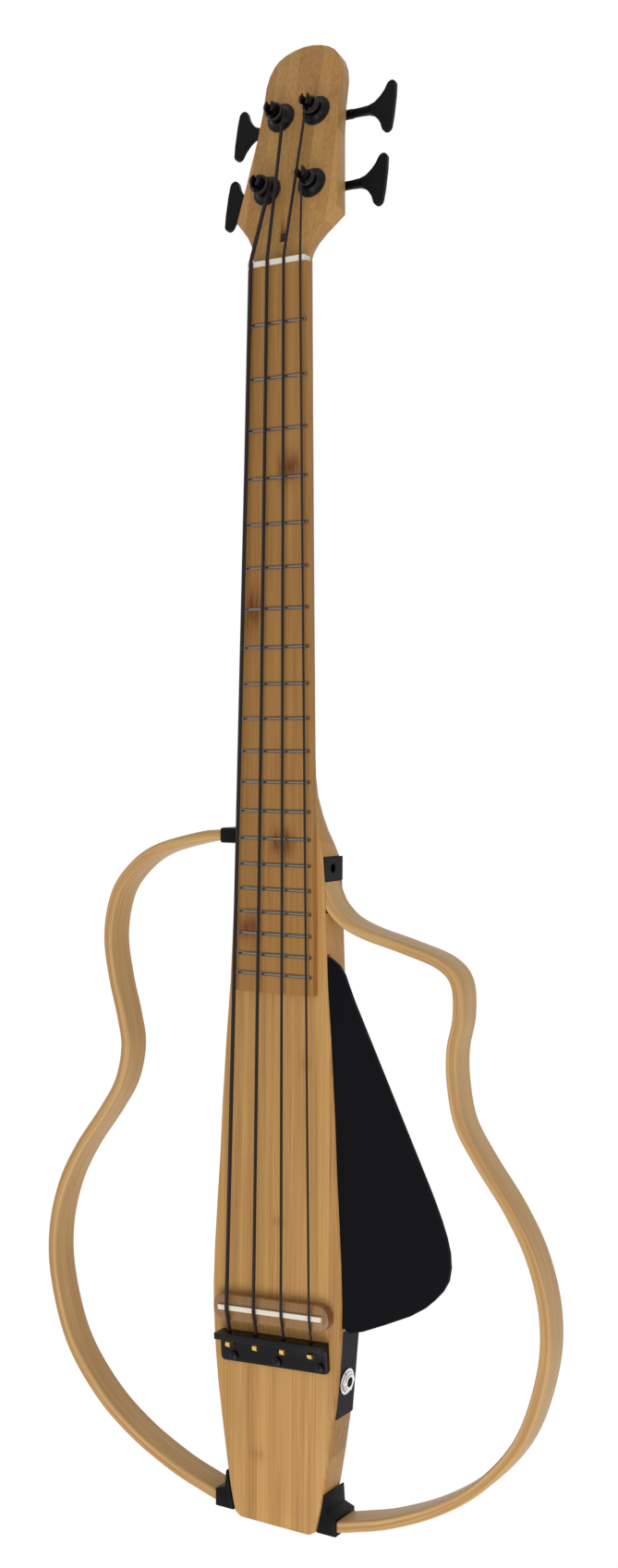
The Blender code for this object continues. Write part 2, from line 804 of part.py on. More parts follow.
def bridge():
    """The bridge base, the saddle in its slot and the piezo strip below it."""
    half, width = BRIDGE_LENGTH / 2, BRIDGE_WIDTH / 2
    corner = BRIDGE_CORNER
    outline = []
    for number, (sx, sz) in enumerate(((1, 1), (-1, 1), (-1, -1), (1, -1))):
        for step in range(5):
            angle = math.pi / 2 * (number + step / 4)
            x = sx * (half - corner) + corner * math.cos(angle)
            outline.append((x, sz * (width - corner) + corner * math.sin(angle)))
    base = plate("bridge", outline, BRIDGE_TOP_Y, FRONT_Y - GAP, board_wood())
    slanted(base, 0, 0, BRIDGE_Z)
    bevel(base, BRIDGE_EDGE)
    reach = SADDLE_LENGTH / 2
    thick = SADDLE_WIDTH / 2
    low = (-reach - GAP, BRIDGE_TOP_Y - PAST, -thick - GAP)
    slot = box("saddle_slot", low, (reach + GAP, SADDLE_FLOOR_Y, thick + GAP))
    boolean(base, slanted(slot, 0, 0, BRIDGE_Z))
    floor = SADDLE_FLOOR_Y - GAP - PIEZO_THICKNESS
    bar = box("saddle", (-reach, SADDLE_TOP_Y, -thick), (reach, floor - GAP, thick), ivory())
    slanted(bar, 0, 0, BRIDGE_Z)
    low = (-reach, floor, -thick)
    strip = box("piezo_strip", low, (reach, floor + PIEZO_THICKNESS, thick), brass())
    slanted(strip, 0, 0, BRIDGE_Z)


def tailpiece():
    """The black angle with its string holes, and its three screws."""
    half = TAIL_LENGTH / 2
    floor = FRONT_Y - GAP
    corner = ((0, TAIL_CORNER), (0.3 * TAIL_CORNER, 0.3 * TAIL_CORNER), (TAIL_CORNER, 0))
    right = [(half - x, z - TAIL_WIDTH) for x, z in corner]
    left = [(-x, z) for x, z in reversed(right)]
    outline = [(half, 0), *right, *left, (-half, 0)]
    piece = plate("tailpiece", outline, TAIL_TOP_Y, floor, black_metal())
    slanted(piece, 0, 0, TAIL_Z_FRONT)
    low = (-half - PAST, TAIL_TOP_Y - PAST, -TAIL_WIDTH - PAST)
    step = box("tail_step", low, (half + PAST, floor - TAIL_BASE, -TAIL_WALL))
    boolean(piece, slanted(step, 0, 0, TAIL_Z_FRONT))
    bevel(piece, 0.8 * MM)
    holes = bmesh.new()
    for index in range(4):
        tail = string_at(index)[2]
        start = (tail.x, tail.y, tail.z + PAST)
        end = (tail.x, tail.y, tail.z - TAIL_WALL - 1 * MM)
        add_rod(holes, TAIL_HOLE_RADIUS, start, end, 12)
    for x in TAIL_SCREWS_X:
        z = tail_z(x, TAIL_SCREW_Z)
        add_rod(holes, SCREW_SHANK + GAP, (x, -1 * MM, z), (x, FRONT_Y + PAST, z), 12)
    boolean(piece, from_bmesh("tail_bores", holes, None))
    for number, x in enumerate(TAIL_SCREWS_X, 1):
        screw = bmesh.new()
        z = tail_z(x, TAIL_SCREW_Z)
        add_screw(screw, x, z, floor - TAIL_BASE - GAP, SCREW_TIP_Y)
        from_bmesh(f"tailpiece_screw_{number}", screw, black_metal())


def add_screw(shape, x, z, seat, tip):
    """Adds one screw along Y, with a domed head in front of its seat."""
    rings = (
        (SCREW_HEAD * 0.55, seat - 1.9 * MM),
        (SCREW_HEAD, seat - 1.0 * MM),
        (SCREW_HEAD, seat),
        (SCREW_SHANK, seat),
        (SCREW_SHANK, tip - 2 * MM),
        (0.4 * MM, tip),
    )
    add_rings(shape, x, z, rings, 12)


def add_rings(shape, x, z, rings, steps):
    """Adds a closed turned body about a line along Y through rings of radius and y."""
    loops = []
    for radius, y in rings:
        loop = []
        for step in range(steps):
            angle = 2 * math.pi * step / steps
            at = (x + radius * math.cos(angle), y, z + radius * math.sin(angle))
            loop.append(shape.verts.new(at))
        loops.append(loop)
    for near, far in zip(loops, loops[1:]):
        for i in range(steps):
            j = (i + 1) % steps
            shape.faces.new((near[i], far[i], far[j], near[j]))
    shape.faces.new(loops[0])
    shape.faces.new(loops[-1][::-1])


def smooth(points):
    """A Catmull-Rom curve through points, with SPLINE_STEPS pieces to a span."""
    ends = [points[0], *points, points[-1]]
    route = []
    for a, b, c, d in zip(ends, ends[1:], ends[2:], ends[3:]):
        for step in range(SPLINE_STEPS):
            t = step / SPLINE_STEPS
            route.append(tuple(catmull(a[i], b[i], c[i], d[i], t) for i in range(2)))
    route.append(points[-1])
    return route


def catmull(a, b, c, d, t):
    """One coordinate of a Catmull-Rom span between b and c."""
    bend = 2 * a - 5 * b + 4 * c - d
    return (2 * b + (c - a) * t + bend * t**2 + (3 * b - a - 3 * c + d) * t**3) / 2


def side_frame(name, upper, side):
    """A bent bamboo strip: a ribbon along its route, thickened and rounded."""
    route = [(x * MM, z * MM) for x, z in upper + LOWER_ROUTE]
    route.append((STRIP_END_X, route[-1][1]))
    shape = bmesh.new()
    last = None
    for x, z in smooth(route):
        front = shape.verts.new((side * x, STRIP_FRONT_Y, z))
        back = shape.verts.new((side * x, STRIP_FRONT_Y + STRIP_DEPTH, z))
        if last:
            shape.faces.new((last[0], front, back, last[1]))
        last = (front, back)
    item = from_bmesh(name, shape, bamboo())
    thick = item.modifiers.new("thickness", "SOLIDIFY")
    thick.thickness = STRIP_THICKNESS
    thick.offset = 0
    thick.use_even_offset = True
    return bevel(item, STRIP_EDGE, 2, 60)


def strip_hole(name, low_x, high_x, z):
    """The cutter for a frame end in its socket."""
    half = STRIP_THICKNESS / 2 + GAP
    low = (min(low_x, high_x), STRIP_FRONT_Y - GAP, z - half)
    return box(name, low, (max(low_x, high_x), STRIP_FRONT_Y + STRIP_DEPTH + GAP, z + half))


def sockets():
    """The four black sockets that hold the ends of the two frames."""
    low, high = UPPER_LEFT_SOCKET
    low, high = [v * MM for v in low], [v * MM for v in high]
    cap = box("upper_left_socket", low, high, black_plastic())
    bevel(cap, SOCKET_EDGE)
    z = LEFT_UPPER_ROUTE[0][1] * MM
    end = (LEFT_UPPER_ROUTE[0][0] - 2) * MM
    boolean(cap, strip_hole("upper_left_hole", -BESIDE, -end, z))
    z = LOWER_ROUTE[-1][1] * MM
    front = STRIP_FRONT_Y - SOCKET_WALL
    back = STRIP_FRONT_Y + STRIP_DEPTH + SOCKET_WALL
    for side, name in ((-1, "lower_left_socket"), (1, "lower_right_socket")):
        outline = [(side * x, z) for x, z in lower_socket_outline()]
        foot = plate(name, outline, front, back, black_plastic())
        bevel(foot, SOCKET_EDGE)
        end = side * (STRIP_END_X - 1 * MM)
        boolean(foot, strip_hole(name + "_hole", side * BESIDE, end, z))
    low = (POCKET_X + GAP, POCKET_Y[0] + GAP, POCKET_Z[0] + GAP)
    high = (POCKET_FACE_X, POCKET_Y[1] - GAP, POCKET_Z[1] - GAP)
    block = box("upper_right_socket", low, high, black_plastic())
    end = RIGHT_UPPER_ROUTE[0][1] * MM + FRAME_END_ROOM
    low = (POCKET_X + POCKET_BACKING, POCKET_Y[0] - PAST, POCKET_Z[0] - PAST)
    room = box("frame_end_room", low, (BESIDE, POCKET_Y[1] + PAST, end))
    boolean(block, room)
    y = STRIP_FRONT_Y + STRIP_DEPTH / 2
    start = (POCKET_X + POCKET_BACKING, y, PEG_HOLE_Z)
    boolean(block, rod("peg_hole", PEG_HOLE_RADIUS, start, (BESIDE, y, PEG_HOLE_Z)))


def lower_socket_outline():
    """The outline of a lower socket, which follows the side of the body at a gap."""
    bottom, top = LOWER_SOCKET_Z
    between = [z * MM for z, *rest in STATIONS if bottom < z * MM < top]
    inner = [(half_width(z) + GAP, z) for z in (top, *between, bottom)]
    tip = (half_width(top) + LOWER_SOCKET_TIP, top)
    return [*inner, *in_mm(LOWER_SOCKET_OUTER), tip]


def knee_outline(inset):
    """The knee plate's outline, closed along the body side at an inset."""
    right = in_mm(PLATE_OUTLINE + tuple(smooth(PLATE_ROUND)) + PLATE_FOOT)
    return right + body_side(inset, right[-1][1], right[0][1])


def body_side(inset, bottom, top):
    """Points up the treble side of the body, at an inset from it."""
    points = []
    for step in range(SIDE_STEPS + 1):
        z = bottom + (top - bottom) * step / SIDE_STEPS
        points.append((half_width(z) - inset, z))
    return points


def knee_plate():
    """The black knee plate, its inner edge let into the groove of the body side."""
    outline = knee_outline(PLATE_TONGUE)
    plate("knee_plate", outline, PLATE_Y[0], PLATE_Y[1], matt_black())


def knee_groove():
    """The groove in the treble side that takes the knee plate's tongue."""
    top = PLATE_OUTLINE[0][1] * MM + GROOVE_ABOVE
    bottom = PLATE_FOOT[-1][1] * MM - GROOVE_BELOW
    inner = body_side(PLATE_TONGUE + 2 * GAP, bottom, top)
    outline = [(BESIDE, top), (BESIDE, bottom), *inner]
    return plate("knee_groove", outline, PLATE_Y[0] - GAP, PLATE_Y[1] + GAP)


def panel_frame(item):
    """Sets a piece in the side panel's own frame: local X outwards, local Z up its length."""
    item.location = PANEL_CENTRE
    item.rotation_euler = (0, PANEL_LEAN, 0)
    return item


def side_cavity():
    """The cutter for the panel's rebate and the room behind it."""
    shape = bmesh.new()
    grow = [size / 2 + GAP for size in PANEL_SIZE]
    add_box(shape, (-grow[0], -grow[1], -grow[2]), (grow[0] + 2 * PAST, grow[1], grow[2]))
    cavity = panel_frame(from_bmesh("panel_rebate", shape, None))
    deep, tall, long = CAVITY_SIZE
    low = (-deep, -tall / 2, -long / 2)
    room = panel_frame(box("jack_room", low, (0, tall / 2, long / 2)))
    boolean(cavity, room, "UNION")
    return cavity


def side_panel():
    """The panel, and the jack through it with its washer and nut."""
    half = [size / 2 for size in PANEL_SIZE]
    panel = box("side_panel", [-v for v in half], half, black_plastic())
    panel_frame(panel)
    start, end = (-PAST, JACK_ACROSS, JACK_ALONG), (PAST, JACK_ACROSS, JACK_ALONG)
    hole = rod("jack_hole", JACK_BARREL + GAP, start, end)
    boolean(panel, panel_frame(hole))
    inner = -half[0] - GAP
    outer = half[0] + GAP
    jack = turned(
        "jack",
        (
            (JACK_BORE, outer + JACK_OUTSIDE),
            (JACK_BARREL, outer + JACK_OUTSIDE),
            (JACK_BARREL, inner),
            (JACK_COLLAR, inner),
            (JACK_COLLAR, inner - JACK_INSIDE),
            (0, inner - JACK_INSIDE),
            (0, inner - JACK_INSIDE + JACK_END_WALL),
            (JACK_BORE, inner - JACK_INSIDE + JACK_END_WALL),
        ),
        silver(),
        hollow=True,
    )
    on_panel(jack, 0)
    washer = turned(
        "jack_washer",
        (
            (JACK_BARREL + GAP, WASHER_THICKNESS),
            (WASHER_RADIUS, WASHER_THICKNESS),
            (WASHER_RADIUS, 0),
            (JACK_BARREL + GAP, 0),
        ),
        silver(),
        hollow=True,
    )
    on_panel(washer, outer)
    seat = outer + WASHER_THICKNESS + GAP
    end = (0, 0, JACK_NUT_HEIGHT)
    hexagon = rod("jack_nut", JACK_NUT_RADIUS, (0, 0, 0), end, silver(), None, 6)
    bore = rod("jack_nut_bore", JACK_BARREL + GAP, (0, 0, -PAST), (0, 0, 2 * PAST))
    boolean(on_panel(hexagon, seat), on_panel(bore, seat))


def on_panel(item, out):
    """Places a piece turned about its local Z on the jack's line, at a distance outwards."""
    turn = Matrix.Rotation(PANEL_LEAN, 4, "Y")
    spot = Matrix.Translation((out, JACK_ACROSS, JACK_ALONG))
    at = Matrix.Translation(PANEL_CENTRE) @ turn @ spot
    item.matrix_world = at @ Matrix.Rotation(math.pi / 2, 4, "Y")
    return item


def truss_rod():
    """The rod under the fingerboard and the nut on its thin end."""
    bar = turned(
        "truss_rod",
        (
            (0, ROD_TOP_Z),
            (ROD_THIN, ROD_TOP_Z),
            (ROD_THIN, ROD_STEP_Z),
            (ROD_RADIUS, ROD_STEP_Z),
            (ROD_RADIUS, ROD_END_Z),
            (0, ROD_END_Z),
        ),
        steel(),
        steps=16,
    )
    bar.location = (0, ROD_Y, 0)
    piece = turned(
        "truss_rod_nut",
        (
            (ROD_THIN + RUN, ROD_NUT_Z[1]),
            (ROD_NUT_RADIUS, ROD_NUT_Z[1]),
            (ROD_NUT_RADIUS, ROD_NUT_Z[0]),
            (ROD_THIN + RUN, ROD_NUT_Z[0]),
        ),
        steel(),
        steps=16,
        hollow=True,
    )
    piece.location = (0, ROD_Y, 0)


def tuner_screw_spot(side, half_spacing, along):
    """x and distance along of a housing's screw."""
    inwards, below = HOUSING_SCREW_OFF
    return side * (half_spacing - inwards), along - below


def tuners(head):
    """Four tuners, each with bushing, post, wheel, worm, button and housing."""
    for index, (side, half_spacing, along) in enumerate(TUNERS):
        name = f"tuner_{STRING_NAMES[index]}"
        x = side * half_spacing
        worm_along = along + GEAR_TEETH * GEAR_MODULE / 2 + WORM_PITCH_RADIUS
        bushing(name, head, x, along)
        post(name, head, x, along, winding(index)[1])
        gear(name, head, x, along)
        worm(name, head, side, x, worm_along)
        button(name, head, side, x, worm_along)
        housing(name, head, side, half_spacing, along, worm_along)
        tuner_screw(name, head, tuner_screw_spot(side, half_spacing, along))


def tuner_screw(name, head, spot):
    """The screw that holds a housing, driven from behind."""
    seat = -(HOUSING_BACK + GAP)
    rings = (
        (HOUSING_SCREW_HEAD - 1 * MM, seat - 1.4 * MM),
        (HOUSING_SCREW_HEAD, seat - 0.8 * MM),
        (HOUSING_SCREW_HEAD, seat),
        (HOUSING_SCREW_RADIUS, seat),
        (HOUSING_SCREW_RADIUS, HOUSING_SCREW_DEPTH - HEAD_THICKNESS),
    )
    shape = bmesh.new()
    add_rings(shape, 0, 0, rings, 10)
    screw = from_bmesh(name + "_screw", shape, black_metal(), head)
    screw.location = (spot[0], 0, spot[1])
    screw.rotation_euler = (math.pi, 0, 0)


def stand_on_post(item, x, along):
    """Points a piece's local Z out of the face, on a post's line."""
    item.location = (x, 0, along)
    item.rotation_euler = (math.pi / 2, 0, 0)
    return item


def bushing(name, head, x, along):
    """The round flange on the face with its barrel in the wood."""
    bore = POST_WAIST + RUN
    ring = turned(
        name + "_bushing",
        (
            (bore, BUSHING_RISE),
            (BUSHING_CROWN, BUSHING_RISE),
            (BUSHING_CROWN + 1 * MM, BUSHING_RISE - 1 * MM),
            (BUSHING_CROWN + 2.2 * MM, BUSHING_EDGE + 0.7 * MM),
            (BUSHING_FLANGE - 0.5 * MM, BUSHING_EDGE + 0.4 * MM),
            (BUSHING_FLANGE, BUSHING_EDGE),
            (BUSHING_FLANGE, GAP),
            (BUSHING_BARREL, GAP),
            (BUSHING_BARREL, -HEAD_THICKNESS + 1 * MM),
            (bore, -HEAD_THICKNESS + 1 * MM),
        ),
        black_metal(),
        head,
        hollow=True,
    )
    stand_on_post(ring, x, along)


def post(name, head, x, along, slot_angle):
    """The waisted post with its slot turned to where the string's end comes in."""
    body = turned(
        name + "_post",
        (
            (0, POST_HEIGHT),
            (POST_RADIUS - 0.7 * MM, POST_HEIGHT),
            (POST_RADIUS, POST_HEIGHT - 0.7 * MM),
            (POST_RADIUS, POST_HEIGHT - 1.3 * MM),
            (POST_WAIST, POST_HEIGHT - 1.8 * MM),
            (POST_WAIST, -HEAD_THICKNESS - 1 * MM),
            (POST_TAIL, -HEAD_THICKNESS - 1 * MM),
            (POST_TAIL, POST_END),
            (0, POST_END),
        ),
        black_metal(),
        head,
    )
    stand_on_post(body, x, along)
    reach = POST_RADIUS + PAST
    low = (-reach, -POST_SLOT / 2, POST_SLOT_FLOOR)
    slot = box(name + "_slot", low, (reach, POST_SLOT / 2, POST_HEIGHT + PAST), None, head)
    stand_on_post(slot, x, along)
    turn = Matrix.Rotation(math.pi / 2, 3, "X") @ Matrix.Rotation(slot_angle, 3, "Z")
    slot.rotation_euler = turn.to_euler()
    boolean(body, slot)


def gear(name, head, x, along):
    """The worm wheel on the post, behind the headstock."""
    pitch_radius = GEAR_MODULE * GEAR_TEETH / 2
    root = pitch_radius - 0.5 * MM
    tip = pitch_radius + 0.3 * MM
    outline = []
    for tooth in range(GEAR_TEETH):
        middle = math.pi / 2 + 2 * math.pi * (tooth + 0.5) / GEAR_TEETH
        for radius, off in ((root, -1.5), (tip, -0.8), (tip, 0.8), (root, 1.5)):
            angle = middle + off * TOOTH_HALF / pitch_radius
            outline.append((radius * math.cos(angle), radius * math.sin(angle)))
    half = GEAR_THICKNESS / 2
    wheel = plate(name + "_gear", outline, WORM_DEPTH - half, WORM_DEPTH + half, brass(), head)
    wheel.location = (x, 0, along)
    end = (0, WORM_DEPTH + PAST, 0)
    bore = rod(name + "_gear_bore", POST_TAIL + GAP, (0, 0, 0), end, None, head)
    bore.location = (x, 0, along)
    boolean(wheel, bore)


def worm(name, head, side, x, worm_along):
    """The worm on the button's shaft: one thread round a core, in step with the wheel."""
    lead = math.pi * GEAR_MODULE
    root = WORM_PITCH_RADIUS - 0.45 * MM
    tip = WORM_PITCH_RADIUS + 0.3 * MM
    length = WORM_TURNS * lead
    shape = bmesh.new()
    steps = WORM_TURNS * WORM_STEPS
    faces_wheel = 0 if side > 0 else math.pi
    rings = []
    for step in range(steps + 1):
        angle = faces_wheel + 2 * math.pi * (step / WORM_STEPS - WORM_TURNS / 2)
        start = -length / 2 + length * step / steps
        corners = ((root - 0.3 * MM, -1.6), (tip, -0.7), (tip, 0.7), (root - 0.3 * MM, 1.6))
        ring = []
        for radius, off in corners:
            at = (radius * math.cos(angle), radius * math.sin(angle), start + off * TOOTH_HALF)
            ring.append(shape.verts.new(at))
        rings.append(ring)
    for near, far in zip(rings, rings[1:]):
        for i in range(4):
            j = (i + 1) % 4
            shape.faces.new((near[i], near[j], far[j], far[i]))
    shape.faces.new(rings[0][::-1])
    shape.faces.new(rings[-1])
    bmesh.ops.recalc_face_normals(shape, faces=shape.faces)
    thread = from_bmesh(name + "_thread", shape, None, head)
    reach = length / 2 + 1 * MM
    core = rod(name + "_worm", root, (0, 0, -reach), (0, 0, reach), steel(), head, 14)
    past = reach + PAST
    bore = rod(name + "_worm_bore", SHAFT_RADIUS + RUN, (0, 0, -past), (0, 0, past), None, head, 14)
    for item in (thread, core, bore):
        item.location = (x, WORM_DEPTH, worm_along)
        item.rotation_euler = (0, side * math.pi / 2, 0)
    boolean(core, thread, "UNION")
    boolean(core, bore)


def button(name, head, side, x, worm_along):
    """The clover button with its stem and the shaft that carries the worm."""
    outline = [
        (0, STEM_RADIUS * 0.9),
        (5 * MM, STEM_RADIUS),
        (9 * MM, 4.4 * MM),
        (12.5 * MM, 7.6 * MM),
        (15.2 * MM, 11.4 * MM),
    ]
    for step in range(6):
        angle = math.radians(160 - 30 * step)
        out = LOBE_ALONG + LOBE_RADIUS * math.cos(angle)
        outline.append((out, LOBE_OFF + LOBE_RADIUS * math.sin(angle)))
    outline.append((LOBE_ALONG + LOBE_RADIUS + 0.5 * MM, 7 * MM))
    whole = [(side * (px + BUTTON_START) - x, pz) for px, pz in outline]
    whole += [(px, -pz) for px, pz in reversed(whole)]
    if side > 0:
        whole.reverse()
    half = BUTTON_THICKNESS / 2
    leaf = plate(name + "_button", whole, -half, half, black_plastic(), head)
    bevel(leaf, 0.9 * MM, 1, 60)
    start = (-side * SHAFT_INNER, 0, 0)
    end = (side * (BUTTON_START + SHAFT_IN_BUTTON) - x, 0, 0)
    inner = rod(name + "_shaft", SHAFT_RADIUS, start, end, None, head, 14)
    start = (side * (BUTTON_START - STEM_HALF) - x, 0, 0)
    end = (side * (BUTTON_START + STEM_HALF) - x, 0, 0)
    collar = rod(name + "_stem", STEM_RADIUS, start, end, None, head, 16)
    for item in (leaf, inner, collar):
        item.location = (x, WORM_DEPTH, worm_along)
    boolean(leaf, collar, "UNION")
    boolean(leaf, inner, "UNION")


def housing(name, head, side, half_spacing, along, worm_along):
    """The cup behind the headstock round wheel and worm, with a neck for the shaft."""
    x = side * half_spacing
    front = HEAD_THICKNESS + GAP
    top = worm_along + HOUSING_ABOVE
    left, right = x - HOUSING_HALF, x + HOUSING_HALF
    low = (left, front, along - HOUSING_BELOW)
    cup = box(name + "_housing", low, (right, HOUSING_BACK, top), black_metal(), head)
    bevel(cup, 1.0 * MM)
    wall = HOUSING_WALL
    low = (left + wall, front - PAST, along - GEAR_MODULE * GEAR_TEETH / 2 - 2.2 * MM)
    room = box(name + "_room", low, (right - wall, HOUSING_BACK - wall, top - wall), None, head)
    outer = side * (BUTTON_START - STEM_HALF - 1 * MM)
    wall_x = x + side * (HOUSING_HALF - wall / 2)
    start, end = (wall_x, WORM_DEPTH, worm_along), (outer, WORM_DEPTH, worm_along)
    boolean(cup, rod(name + "_neck", HOUSING_NECK, start, end, None, head, 16), "UNION")
    boolean(cup, room)
    start = (x + side * (HOUSING_HALF - 2.6 * MM), WORM_DEPTH, worm_along)
    end = (outer + side * PAST, WORM_DEPTH, worm_along)
    boolean(cup, rod(name + "_shaft_bore", SHAFT_RADIUS + RUN, start, end, None, head, 14))
    at, height = tuner_screw_spot(side, half_spacing, along)
    start, end = (at, front - PAST, height), (at, HOUSING_BACK + PAST, height)
    radius = HOUSING_SCREW_RADIUS + GAP
    boolean(cup, rod(name + "_screw_bore", radius, start, end, None, head, 10))


def main():
    clear_scene()
    head = head_frame()
    body_neck(head)
    fingerboard()
    nut()
    strings()
    bridge()
    tailpiece()
    side_frame("left_frame", LEFT_UPPER_ROUTE, -1)
    side_frame("right_frame", RIGHT_UPPER_ROUTE, 1)
    sockets()
    knee_plate()
    side_panel()
    truss_rod()
    tuners(head)


main()
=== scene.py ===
"""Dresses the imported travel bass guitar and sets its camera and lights.

Lengths are metres in the frame's own axes: +Z up the neck, +X to the treble side and -Y the front.
"""

import logging
import math
from dataclasses import dataclass
from enum import Enum
from typing import Callable, Optional, Sequence, Union

import bpy
import numpy as np
from mathutils import Matrix, Vector


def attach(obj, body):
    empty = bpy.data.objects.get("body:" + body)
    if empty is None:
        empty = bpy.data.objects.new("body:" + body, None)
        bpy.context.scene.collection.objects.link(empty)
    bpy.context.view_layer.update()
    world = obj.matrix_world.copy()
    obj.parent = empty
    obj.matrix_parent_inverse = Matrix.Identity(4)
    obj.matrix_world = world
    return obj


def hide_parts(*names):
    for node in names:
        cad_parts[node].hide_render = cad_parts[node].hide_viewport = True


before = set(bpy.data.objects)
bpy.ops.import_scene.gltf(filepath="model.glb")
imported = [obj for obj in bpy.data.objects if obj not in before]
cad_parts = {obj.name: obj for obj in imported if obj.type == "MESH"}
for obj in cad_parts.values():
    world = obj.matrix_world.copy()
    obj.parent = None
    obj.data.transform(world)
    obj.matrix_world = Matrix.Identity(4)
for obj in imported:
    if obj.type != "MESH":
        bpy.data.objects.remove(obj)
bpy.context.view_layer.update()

MM = 0.001
LOG = logging.getLogger("scene")
Number = Union[float, "Value"]
Colour = tuple[float, float, float]


class Side(Enum):
    """A side of the body, by the sign of its X."""

    BASS = -1
    TREBLE = 1


class Value:
    """A shader value: one output socket, with the arithmetic that materials need."""

    def __init__(self, nodes: "Nodes", socket: bpy.types.NodeSocket) -> None:
        """Keeps the socket and the tree that it belongs to."""
        self.nodes = nodes
        self.socket = socket

    def __add__(self, other: Number) -> "Value":
        """This value plus another."""
        return self.nodes.maths("ADD", self, other)

    __radd__ = __add__

    def __sub__(self, other: Number) -> "Value":
        """This value minus another."""
        return self.nodes.maths("SUBTRACT", self, other)

    def __rsub__(self, other: Number) -> "Value":
        """Another minus this value."""
        return self.nodes.maths("SUBTRACT", other, self)

    def __mul__(self, other: Number) -> "Value":
        """This value times another."""
        return self.nodes.maths("MULTIPLY", self, other)

    __rmul__ = __mul__

    def __truediv__(self, other: Number) -> "Value":
        """This value over another."""
        return self.nodes.maths("DIVIDE", self, other)

    def over(self, limit: Number) -> "Value":
        """One where this value is greater than a limit, and zero elsewhere."""
        return self.nodes.maths("GREATER_THAN", self, limit)

    def under(self, limit: Number) -> "Value":
        """One where this value is less than a limit, and zero elsewhere."""
        return self.nodes.maths("LESS_THAN", self, limit)

    def act(self, operation: str, other: Number = 0.0) -> "Value":
        """The result of any other Math operation on this value."""
        return self.nodes.maths(operation, self, other)


class Nodes:
    """One material's node tree, with its Principled shader and its output."""

    def __init__(self, name: str) -> None:
        """Makes the material and clears all but its shader and output."""
        self.material = bpy.data.materials.new(name)
        self.material.use_nodes = True
        self.tree = self.material.node_tree
        self.shader = self.tree.nodes["Principled BSDF"]
        self.output = self.tree.nodes["Material Output"]

    def make(self, kind: str, settings: Optional[dict] = None, **inputs: object) -> bpy.types.Node:
        """Adds a node of any type.

        Args:
            kind: the node's type name.
            settings: properties that are set first.
            inputs: values or links, by socket name with underscores for spaces.

        Returns:
            The new node.
        """
        node = self.tree.nodes.new(kind)
        for key, value in (settings or {}).items():
            setattr(node, key, value)
        for key, value in inputs.items():
            self.feed(node.inputs[key.replace("_", " ")], value)
        return node

    def feed(self, socket: bpy.types.NodeSocket, value: object) -> None:
        """Sets a socket from a plain value, a Value or another socket."""
        if isinstance(value, Value):
            value = value.socket
        if isinstance(value, bpy.types.NodeSocket):
            self.tree.links.new(value, socket)
        elif isinstance(value, tuple) and len(value) == 3 and socket.type == "RGBA":
            socket.default_value = (*value, 1.0)
        else:
            socket.default_value = value

    def maths(self, operation: str, first: Number, second: Number = 0.0) -> Value:
        """A Math node on two values."""
        node = self.tree.nodes.new("ShaderNodeMath")
        node.operation = operation
        self.feed(node.inputs[0], first)
        self.feed(node.inputs[1], second)
        return Value(self, node.outputs[0])

    def place(self) -> tuple[Value, Value, Value]:
        """Object coordinates as three values."""
        where = self.make("ShaderNodeTexCoord").outputs["Object"]
        split = self.make("ShaderNodeSeparateXYZ", None, Vector=where)
        return tuple(Value(self, out) for out in split.outputs)

    def surface(self, layer: str) -> tuple[Value, Value]:
        """A piece's own UV map as two values."""
        where = self.make("ShaderNodeUVMap", {"uv_map": layer}).outputs["UV"]
        split = self.make("ShaderNodeSeparateXYZ", None, Vector=where)
        return Value(self, split.outputs[0]), Value(self, split.outputs[1])

    def join(self, x: Number, y: Number, z: Number) -> bpy.types.NodeSocket:
        """Three values as one vector."""
        node = self.make("ShaderNodeCombineXYZ")
        for socket, value in zip(node.inputs, (x, y, z)):
            self.feed(socket, value)
        return node.outputs[0]

    def noise(self, x: Number, y: Number, z: Number, detail: float = 2.0) -> Value:
        """Smooth noise from about 0 to 1 at a point given in noise cells."""
        node = self.make("ShaderNodeTexNoise", None, Vector=self.join(x, y, z), Scale=1.0, Detail=detail)
        return Value(self, node.outputs["Fac"])

    def random(self, x: Number, y: Number = 0.0, z: Number = 0.0) -> Value:
        """An unrelated number from 0 to 1 for each whole-numbered cell."""
        node = self.make("ShaderNodeTexWhiteNoise", None, Vector=self.join(x, y, z))
        return Value(self, node.outputs["Value"])

    def blend(self, share: Number, low: object, high: object) -> bpy.types.NodeSocket:
        """A mix of two colours by a share from 0 to 1."""
        node = self.tree.nodes.new("ShaderNodeMix")
        node.data_type = "RGBA"
        colours = [socket for socket in node.inputs if socket.type == "RGBA"]
        self.feed(node.inputs[0], share)
        self.feed(colours[0], low)
        self.feed(colours[1], high)
        return next(socket for socket in node.outputs if socket.type == "RGBA")

    def bump(self, height: Value, distance: float, strength: float = 1.0) -> None:
        """Feeds the shader's normal from a height between 0 and 1 and its depth in metres."""
        node = self.make("ShaderNodeBump", None, Strength=strength, Distance=distance, Height=height)
        self.feed(self.shader.inputs["Normal"], node.outputs["Normal"])

    def set(self, **values: object) -> None:
        """Sets or links sockets of the Principled shader, by name with underscores."""
        for key, value in values.items():
            self.feed(self.shader.inputs[key.replace("_", " ")], value)


@dataclass(frozen=True)
class Mark:
    """One bamboo node mark: a darker, streaked patch on one or two laths."""

    x: float
    z: float
    half_width: float
    half_length: float


